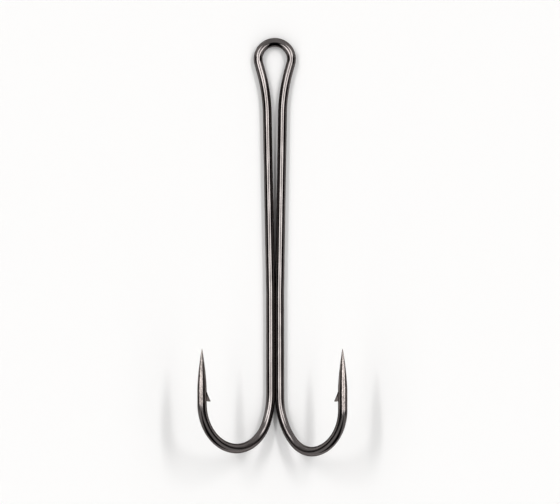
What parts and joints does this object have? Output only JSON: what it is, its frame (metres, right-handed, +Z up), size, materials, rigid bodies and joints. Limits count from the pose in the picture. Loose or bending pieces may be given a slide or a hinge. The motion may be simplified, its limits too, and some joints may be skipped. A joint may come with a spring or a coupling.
{
  "type": "double fishing hook",
  "caption": "Long-shank double fishing hook of formed wire, with a looped eye, legs that close up as the shank, and a barbed point on each side.",
  "frame": {"origin": "the centre of the eye's crown arc, in the middle of the wire", "axes": "+Y along the shank, out past the eye; +X to the right; +Z up from the surface that the legs lie on, the way both hooks rise"},
  "size_m": [0.0198, 0.0553, 0.0088],
  "materials": {
    "plated_wire": "glossy black-nickel plate on hardened steel wire, with faint drawing lines",
    "plated_point": "black-nickel plate on honed steel, slightly paler and softer in gloss"
  },
  "bodies": {
    "root": {"eye": "plated_wire", "left_leg": "plated_wire", "right_leg": "plated_wire", "left_bend": "plated_wire", "right_bend": "plated_wire", "left_point": "plated_point", "right_point": "plated_point", "left_barb": "plated_point", "right_barb": "plated_point"}
  },
  "joints": []
}
